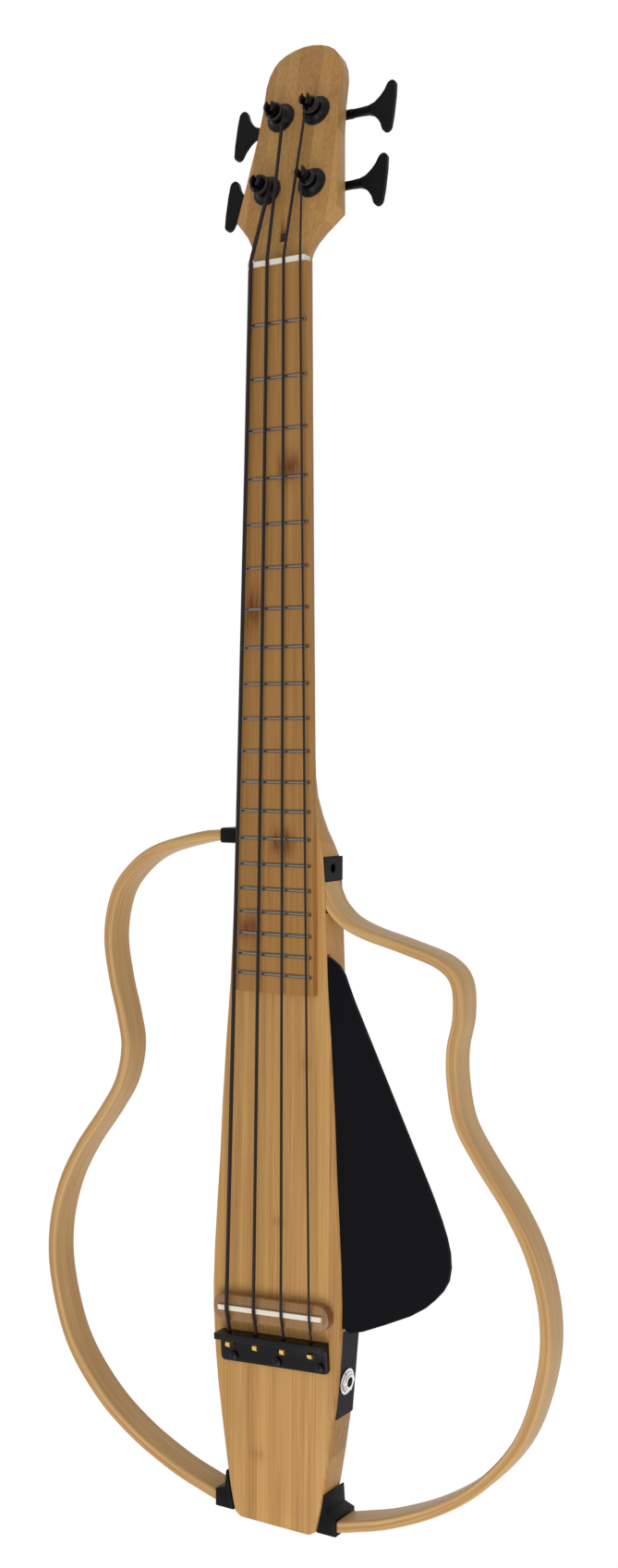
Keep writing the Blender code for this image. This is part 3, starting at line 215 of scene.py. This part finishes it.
@dataclass(frozen=True)
class Bamboo:
    """Bamboo laths glued side by side, with fibres along Z and node marks."""

    name: str
    pale: Colour
    deep: Colour
    mark: Colour
    lath: float = 8.6 * MM
    contrast: float = 0.45
    roughness: float = 0.45
    coat: float = 0.04
    specular: float = 0.22
    marks: tuple[Mark, ...] = ()
    mark_strength: float = 1.0

    def build(self) -> Nodes:
        """Makes the material and returns its tree."""
        nodes = Nodes(self.name)
        x, y, z = nodes.place()
        self.dress(nodes, x, y, z)
        return nodes

    def dress(self, nodes: Nodes, across: Value, deep: Value, along: Value) -> bpy.types.NodeSocket:
        """Feeds the shader from coordinates across, into and along the laths.

        Args:
            nodes: the material's tree.
            across: metres across the laths.
            deep: metres into the wood.
            along: metres along the fibres.

        Returns:
            The colour socket.
        """
        column = (across / self.lath + 0.5).act("FLOOR")
        length = 1.9 + nodes.random(column, 3.0)
        tone = nodes.random(column, (along / length).act("FLOOR"))
        fibre = nodes.noise(across * 1500, deep * 1500, along * 14 + tone * 50, 3.0)
        cloud = nodes.noise(across * 90 + tone * 9, deep * 60, along * 9, 2.0)
        fine = nodes.noise(across * 4200, deep * 4200, along * 40 + tone * 20, 2.0)
        share = tone * 0.55 + fibre * 1.15 + fine * 0.3 + cloud * 0.4 - 0.78
        colour = nodes.blend(self.limit(share * self.contrast / 0.35), self.pale, self.deep)
        edge = ((across / self.lath + 0.5).act("FRACT") - 0.5).act("ABSOLUTE")
        seam = edge.over(0.478) * 0.22
        colour = nodes.blend(seam, colour, self.deep)
        for mark in self.marks:
            colour = self.stain(nodes, colour, mark, across, along)
        nodes.set(
            Base_Color=colour,
            Roughness=self.roughness - 0.08 + fibre * 0.16,
            Coat_Weight=self.coat,
            Coat_Roughness=0.25,
            Specular_IOR_Level=self.specular,
        )
        nodes.bump(fibre * 0.7 - seam * 1.5, 0.05 * MM, 0.35)
        return colour

    def limit(self, share: Value) -> Value:
        """A share held between 0 and 1."""
        return share.act("MAXIMUM", 0.0).act("MINIMUM", 1.0)

    def stain(
        self,
        nodes: Nodes,
        colour: bpy.types.NodeSocket,
        mark: Mark,
        across: Value,
        along: Value,
    ) -> bpy.types.NodeSocket:
        """Darkens one node mark: a soft patch broken up by coarse streaks."""
        near = ((across - mark.x) / mark.half_width).act("POWER", 2.0)
        by = ((along - mark.z) / mark.half_length).act("POWER", 2.0)
        body = (near * near + by) * -1.0
        patch = body.act("EXPONENT")
        streak = nodes.noise(across * 900, 7.0, along * 60, 2.0)
        share = self.limit(patch * (streak * 2.2 - 0.3)) * self.mark_strength
        return nodes.blend(share, colour, self.mark)


@dataclass(frozen=True)
class Plain:
    """A moulded, painted or bare surface with fine unevenness in colour, gloss and height."""

    name: str
    colour: Colour
    roughness: float
    metallic: float = 0.0
    coat: float = 0.0
    speck: float = 0.12
    cell: float = 0.6 * MM
    depth: float = 0.02 * MM
    specular: float = 0.5

    def build(self) -> Nodes:
        """Makes the material and returns its tree."""
        nodes = Nodes(self.name)
        x, y, z = nodes.place()
        scale = 1 / self.cell
        grain = nodes.noise(x * scale, y * scale, z * scale, 3.0)
        smear = nodes.noise(x * 60, y * 60, z * 60, 2.0)
        bright = tuple(min(1.0, part * (1 + 2 * self.speck) + 0.001) for part in self.colour)
        nodes.set(
            Base_Color=nodes.blend(grain * 0.6 + smear * 0.4, self.colour, bright),
            Roughness=self.roughness - 0.05 + smear * 0.1,
            Metallic=self.metallic,
            Coat_Weight=self.coat,
            Specular_IOR_Level=self.specular,
        )
        nodes.bump(grain, self.depth, 0.5)
        return nodes


NECK_MARKS = (
    Mark(21 * MM, -500 * MM, 4 * MM, 5 * MM),
    Mark(2 * MM, -600 * MM, 5 * MM, 3 * MM),
    Mark(-13 * MM, -748 * MM, 6 * MM, 4 * MM),
    Mark(4 * MM, 62 * MM, 5 * MM, 4 * MM),
    Mark(24 * MM, 112 * MM, 4 * MM, 4 * MM),
)
BOARD_MARKS = (
    Mark(9 * MM, -128 * MM, 8.5 * MM, 9 * MM),
    Mark(-16 * MM, -217 * MM, 6 * MM, 14 * MM),
    Mark(6 * MM, -363 * MM, 9 * MM, 9 * MM),
    Mark(-18 * MM, -417 * MM, 8 * MM, 8 * MM),
)
BODY_WOOD = Bamboo(
    "body_bamboo", (0.66, 0.37, 0.125), (0.36, 0.165, 0.042), (0.24, 0.09, 0.022), marks=NECK_MARKS, mark_strength=0.35
)
BOARD_WOOD = Bamboo(
    "board_bamboo", (0.52, 0.265, 0.078), (0.25, 0.105, 0.024), (0.15, 0.035, 0.006), marks=BOARD_MARKS
)
BRIDGE_WOOD = Bamboo(
    "bridge_bamboo", (0.36, 0.19, 0.072), (0.22, 0.10, 0.034), (0.2, 0.1, 0.03), coat=0.3, roughness=0.28
)
LOOP_WOOD = Bamboo(
    "loop_bamboo", (0.80, 0.52, 0.235), (0.50, 0.27, 0.095), (0.3, 0.15, 0.05), lath=1.75 * MM, contrast=0.6
)
BLACK_PLASTIC = Plain("black_plastic_finish", (0.002, 0.002, 0.0025), 0.42, specular=0.09)
MATT_BLACK = Plain("matt_black_finish", (0.002, 0.002, 0.0035), 0.6, cell=0.35 * MM, depth=0.03 * MM, specular=0.07)
BLACK_METAL = Plain("black_metal_finish", (0.002, 0.002, 0.0025), 0.32, specular=0.16)
SILVER = Plain("silver_finish", (0.72, 0.72, 0.73), 0.22, 1.0, depth=0.004 * MM)
STEEL = Plain("steel_finish", (0.50, 0.50, 0.52), 0.35, 1.0)
# The truss rod nut's steel is darkened as painted shade: its colour stands in for the shadow in the rod's slot, not
# the nut's own colour.
STEEL_DARKENED_AS_PAINTED_SHADE = Plain("steel_painted_shade_finish", (0.03, 0.03, 0.032), 0.35, 1.0)
BRASS = Plain("brass_finish", (0.70, 0.44, 0.13), 0.28, 1.0)
IVORY = Plain("ivory_finish", (0.80, 0.74, 0.62), 0.35, coat=0.3)


@dataclass(frozen=True)
class Wound:
    """A dark wound string with fine ridges across it, and a brass ball end below a height."""

    name: str = "string_finish"
    wrap: Colour = (0.020, 0.015, 0.012)
    ball: Colour = (0.72, 0.46, 0.14)
    ball_z: float = -675.7 * MM
    ridge: float = 0.45 * MM

    def build(self) -> Nodes:
        """Makes the material and returns its tree."""
        nodes = Nodes(self.name)
        _, _, z = nodes.place()
        below = z.under(self.ball_z)
        smear = nodes.noise(0.0, 0.0, z * 120, 2.0)
        nodes.set(
            Base_Color=nodes.blend(below, self.wrap, self.ball),
            Metallic=below * 0.6 + 0.4,
            Roughness=smear * 0.12 + 0.3,
            Specular_IOR_Level=0.3,
        )
        wave = (z * (2 * math.pi / self.ridge)).act("SINE") * 0.5 + 0.5
        nodes.bump(wave, 0.03 * MM, 0.5)
        return nodes


@dataclass(frozen=True)
class Fretted:
    """The board's wood with metal where the frets stand out of its top, the metal's colour darkened as a painted dark
    reflection.
    """

    wood: Bamboo
    # The fret metal's colour is darkened to paint in the dark reflections that the frets show, not the metal's own
    # colour.
    metal: Colour = (0.20, 0.185, 0.165)
    top: float = -0.15 * MM

    def build(self) -> Nodes:
        """Makes the wood, and mixes in a metal shader above the board's top."""
        nodes = self.wood.build()
        _, y, _ = nodes.place()
        metal = nodes.make("ShaderNodeBsdfPrincipled", None, Metallic=1.0, Roughness=0.3)
        nodes.feed(metal.inputs["Base Color"], self.metal)
        mix = nodes.make("ShaderNodeMixShader")
        nodes.feed(mix.inputs[0], y.under(self.top))
        nodes.feed(mix.inputs[1], nodes.shader.outputs[0])
        nodes.feed(mix.inputs[2], metal.outputs[0])
        nodes.feed(nodes.output.inputs["Surface"], mix.outputs[0])
        return nodes


def dress(names: Sequence[str], finish: bpy.types.Material) -> None:
    """Gives one finish to several CAD nodes."""
    for name in names:
        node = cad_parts[name]
        node.data.materials.clear()
        node.data.materials.append(finish)


class Shading:
    """A node modifier that shades curved faces smoothly and keeps the sharper edges."""

    def __init__(self, name: str, angle: float) -> None:
        """Builds the node group.

        Args:
            name: the group's name.
            angle: edges over this many degrees stay sharp.
        """
        self.group = bpy.data.node_groups.new(name, "GeometryNodeTree")
        for direction in ("INPUT", "OUTPUT"):
            self.group.interface.new_socket("Geometry", in_out=direction, socket_type="NodeSocketGeometry")
        make = self.group.nodes.new
        link = self.group.links.new
        merge = make("GeometryNodeMergeByDistance")
        merge.inputs["Distance"].default_value = 0.02 * MM
        faces = make("GeometryNodeSetShadeSmooth")
        faces.domain = "FACE"
        faces.inputs["Shade Smooth"].default_value = True
        edges = make("GeometryNodeSetShadeSmooth")
        edges.domain = "EDGE"
        edges.inputs["Shade Smooth"].default_value = False
        sharp = make("FunctionNodeCompare")
        sharp.data_type = "FLOAT"
        sharp.operation = "GREATER_THAN"
        sharp.inputs[1].default_value = math.radians(angle)
        bend = make("GeometryNodeInputMeshEdgeAngle")
        link(make("NodeGroupInput").outputs[0], merge.inputs["Geometry"])
        link(merge.outputs[0], faces.inputs["Geometry"])
        link(faces.outputs[0], edges.inputs["Geometry"])
        link(bend.outputs["Unsigned Angle"], sharp.inputs[0])
        link(sharp.outputs[0], edges.inputs["Selection"])
        link(edges.outputs[0], make("NodeGroupOutput").inputs[0])

    def add(self, names: Sequence[str]) -> None:
        """Puts the modifier on CAD nodes, whose own vertices stay as they are."""
        for name in names:
            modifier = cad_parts[name].modifiers.new("shading", "NODES")
            modifier.node_group = self.group


def surface_piece(
    name: str,
    rings: np.ndarray,
    finish: bpy.types.Material,
    along: np.ndarray,
    across: np.ndarray,
    caps: bool = True,
) -> bpy.types.Object:
    """A smooth closed tube through rings of points, with a UV map in metres.

    Args:
        name: the piece's name.
        rings: points as an array of rings by points by 3, each ring the same way round.
        finish: the piece's material.
        along: the distance of each ring along the piece.
        across: the second coordinate of each point of a ring.
        caps: whether the two ends are closed.

    Returns:
        The new object.
    """
    count, size, _ = rings.shape
    faces = []
    maps = []
    for i in range(count - 1):
        for j in range(size):
            k = (j + 1) % size
            faces.append((i * size + j, i * size + k, (i + 1) * size + k, (i + 1) * size + j))
            near, far = along[i], along[i + 1]
            maps += [(near, across[j]), (near, across[k]), (far, across[k]), (far, across[j])]
    if caps:
        faces.append(tuple(reversed(range(size))))
        maps += [(along[0], across[j]) for j in reversed(range(size))]
        last = (count - 1) * size
        faces.append(tuple(range(last, last + size)))
        maps += [(along[-1], across[j]) for j in range(size)]
    mesh = bpy.data.meshes.new(name)
    mesh.from_pydata([tuple(p) for p in rings.reshape(-1, 3)], [], faces)
    layer = mesh.uv_layers.new(name="surface")
    for loop, value in zip(layer.data, maps):
        loop.uv = value
    mesh.shade_smooth()
    mesh.set_sharp_from_angle(angle=math.radians(38))
    mesh.materials.append(finish)
    item = bpy.data.objects.new(name, mesh)
    bpy.context.scene.collection.objects.link(item)
    return item


def smooth_route(points: Sequence[tuple[float, float]], steps: int) -> np.ndarray:
    """A Catmull-Rom curve through points in a plane.

    Args:
        points: the points, in metres.
        steps: pieces to each span.

    Returns:
        The curve as an array of points by 2.
    """
    knots = np.array([points[0], *points, points[-1]])
    share = np.arange(steps)[:, None] / steps
    spans = []
    for a, b, c, d in zip(knots, knots[1:], knots[2:], knots[3:]):
        bend = 2 * a - 5 * b + 4 * c - d
        last = 3 * b - a - 3 * c + d
        spans.append((2 * b + (c - a) * share + bend * share**2 + last * share**3) / 2)
    return np.vstack([*spans, knots[-1:]])


LOWER_ROUTE = (
    (121, -503),
    (126, -526),
    (139, -547),
    (158.5, -573),
    (173, -599.5),
    (181, -631),
    (179.5, -664),
    (166, -704),
    (141, -735),
    (112, -756),
    (80, -771),
    (56, -778.5),
    (44, -781.5),
    (35.5, -781.5),
)
LEFT_ROUTE = (
    (35, -359.6),
    (46.5, -359.9),
    (62.3, -361.6),
    (97, -371),
    (118, -385),
    (131, -403),
    (136, -430),
    (131.5, -458),
    (124.4, -483),
)
RIGHT_ROUTE = (
    (29.5, -388),
    (32, -394),
    (35.1, -400.2),
    (39.5, -405.4),
    (47.2, -411.5),
    (61.9, -417.5),
    (88, -424.3),
    (112, -432),
    (123, -443),
    (124.5, -463),
    (120.6, -483),
)


@dataclass
class SideFrames:
    """The two bent bamboo strips, with the thin plies that show on their edges."""

    thickness: float = 6.84 * MM
    front: float = 7 * MM
    depth: float = 20.5 * MM
    corner: float = 1.6 * MM
    corner_steps: int = 5
    span_steps: int = 8

    def section(self) -> np.ndarray:
        """The rounded rectangle, as offsets across the thickness and along Y."""
        half = self.thickness / 2 - self.corner
        middle = self.front + self.depth / 2
        tall = self.depth / 2 - self.corner
        points = []
        for number, (sx, sy) in enumerate(((1, 1), (-1, 1), (-1, -1), (1, -1))):
            for step in range(self.corner_steps):
                angle = math.pi / 2 * (number + step / (self.corner_steps - 1))
                x = sx * half + self.corner * math.cos(angle)
                points.append((x, middle + sy * tall + self.corner * math.sin(angle)))
        return np.array(points)

    def build(
        self,
        name: str,
        upper: Sequence[tuple[float, float]],
        side: Side,
        finish: bpy.types.Material,
    ) -> None:
        """Sweeps the section along one route and puts it in the CAD node's place.

        Args:
            name: the CAD node that the strip replaces.
            upper: the route's upper part, as x and z in millimetres on the treble side.
            side: the side that the strip is on.
            finish: the strip's material.
        """
        sign = side.value
        points = [(sign * x * MM, z * MM) for x, z in [*upper, *LOWER_ROUTE]]
        route = smooth_route(points, self.span_steps)
        ahead = np.gradient(route, axis=0)
        ahead /= np.linalg.norm(ahead, axis=1)[:, None]
        out = np.stack([-ahead[:, 1], ahead[:, 0]], axis=1)
        section = self.section()
        if side is Side.BASS:
            section = section[::-1]
        rings = np.zeros((len(route), len(section), 3))
        rings[:, :, 0] = route[:, 0:1] + out[:, 0:1] * section[None, :, 0] * sign
        rings[:, :, 2] = route[:, 1:2] + out[:, 1:2] * section[None, :, 0] * sign
        rings[:, :, 1] = section[None, :, 1]
        steps = np.linalg.norm(np.diff(route, axis=0), axis=1)
        along = np.concatenate([[0], np.cumsum(steps)])
        piece = surface_piece(name + "_strip", rings, finish, along, section[:, 0])
        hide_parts(name)
        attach(piece, name)
        LOG.info("%s has %d faces", piece.name, len(piece.data.polygons))


@dataclass(frozen=True)
class LoopWood:
    """Bamboo whose plies and fibres follow the strip's own UV map."""

    wood: Bamboo

    def build(self) -> Nodes:
        """Makes the material from distance along the strip and offset across it."""
        nodes = Nodes(self.wood.name)
        along, across = nodes.surface("surface")
        _, y, _ = nodes.place()
        self.wood.dress(nodes, across, y, along)
        return nodes


@dataclass
class Studio:
    """The camera that matches the photograph, the lights and the white background."""

    camera_place: tuple[float, float, float] = (0.5947, -0.9338, -0.3054)
    forward: tuple[float, float, float] = (-0.52035, 0.85384, 0.01375)
    up: tuple[float, float, float] = (0.00193, -0.01493, 0.99989)
    focal: float = 1913.4
    picture: tuple[float, float] = (669.0, 1698.0)
    principal: tuple[float, float] = (335.1, 787.0)
    sensor: float = 36.0

    def camera(self) -> None:
        """Makes the camera from the calibrated place, direction, focal length and centre."""
        data = bpy.data.cameras.new("camera")
        item = bpy.data.objects.new("camera", data)
        bpy.context.scene.collection.objects.link(item)
        long_side = max(self.picture)
        data.sensor_width = self.sensor
        data.lens = self.focal / long_side * self.sensor
        data.shift_x = (self.picture[0] / 2 - self.principal[0]) / long_side
        data.shift_y = (self.principal[1] - self.picture[1] / 2) / long_side
        data.clip_start = 0.05
        data.clip_end = 20
        back = -Vector(self.forward).normalized()
        right = Vector(self.up).cross(back).normalized()
        top = back.cross(right)
        turn = Matrix((right, top, back)).transposed().to_4x4()
        item.matrix_world = Matrix.Translation(self.camera_place) @ turn
        bpy.context.scene.camera = item

    def light(self, name: str, place: Sequence[float], size: float, power: float) -> None:
        """Adds one square area light that points at the middle of the instrument."""
        data = bpy.data.lights.new(name, "AREA")
        data.size = size
        data.energy = power
        item = bpy.data.objects.new(name, data)
        bpy.context.scene.collection.objects.link(item)
        item.location = place
        aim = Vector((0, 0, -0.4)) - Vector(place)
        item.rotation_euler = aim.to_track_quat("-Z", "Y").to_euler()

    def world(self, seen: float = 1.0, felt: float = 0.42) -> None:
        """Makes a background that is white to the camera and in gloss, and softer as a light."""
        world = bpy.data.worlds.new("studio")
        bpy.context.scene.world = world
        world.use_nodes = True
        tree = world.node_tree
        sky = tree.nodes["Background"]
        path = tree.nodes.new("ShaderNodeLightPath")
        level = tree.nodes.new("ShaderNodeMapRange")
        level.inputs["To Min"].default_value = felt
        level.inputs["To Max"].default_value = seen
        either = tree.nodes.new("ShaderNodeMath")
        either.operation = "MAXIMUM"
        tree.links.new(path.outputs["Is Camera Ray"], either.inputs[0])
        tree.links.new(path.outputs["Is Glossy Ray"], either.inputs[1])
        tree.links.new(either.outputs[0], level.inputs["Value"])
        tree.links.new(level.outputs["Result"], sky.inputs["Strength"])
        sky.inputs["Color"].default_value = (1, 1, 1, 1)

    def build(self) -> None:
        """Makes the camera, the lights and the world."""
        self.camera()
        self.light("key", (0.25, -1.7, -1.7), 1.2, 18)
        self.light("fill", (1.5, -1.2, -0.5), 1.6, 7)
        self.world()
        bpy.context.scene.view_settings.view_transform = "Standard"


def names(pattern: Callable[[str], bool]) -> list[str]:
    """The CAD nodes whose names pass a test."""
    return [name for name in sorted(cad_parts) if pattern(name)]


def main() -> None:
    """Builds and dresses the pieces in order, then the studio."""
    logging.basicConfig(level=logging.INFO)
    dress(["body_neck"], BODY_WOOD.build().material)
    dress(["fingerboard"], Fretted(BOARD_WOOD).build().material)
    dress(["bridge"], BRIDGE_WOOD.build().material)
    dress(["nut", "saddle"], IVORY.build().material)
    dress(["knee_plate"], MATT_BLACK.build().material)
    plastic = names(lambda n: n.endswith(("socket", "side_panel", "_button")))
    dress(plastic, BLACK_PLASTIC.build().material)
    dress(names(lambda n: n.startswith("jack")), SILVER.build().material)
    dress(names(lambda n: n.startswith("string_")), Wound().build().material)
    metal = names(lambda n: n.endswith(("housing", "bushing", "post", "_screw")) or n.startswith("tailpiece"))
    dress(metal, BLACK_METAL.build().material)
    dress(names(lambda n: n == "truss_rod" or n.endswith("_worm")), STEEL.build().material)
    # The truss rod nut gets steel darkened as painted shade for the shadow in its slot.
    dress(["truss_rod_nut"], STEEL_DARKENED_AS_PAINTED_SHADE.build().material)
    dress(names(lambda n: n.endswith("_gear") or n == "piezo_strip"), BRASS.build().material)
    curved = ("body_neck", "bridge", "tailpiece", "nut", "saddle")
    turned = ("bushing", "post", "button", "socket", "_screw", "worm")
    Shading("smooth_under_24", 24).add(names(lambda n: n in curved or n.endswith(turned) or n.startswith("jack")))
    Shading("smooth_under_50", 50).add(names(lambda n: n.startswith(("string_", "tailpiece_screw"))))
    loop = LoopWood(LOOP_WOOD).build().material
    frames = SideFrames()
    frames.build("left_frame", LEFT_ROUTE, Side.BASS, loop)
    frames.build("right_frame", RIGHT_ROUTE, Side.TREBLE, loop)
    Studio().build()


if __name__ == "__main__":
    main()
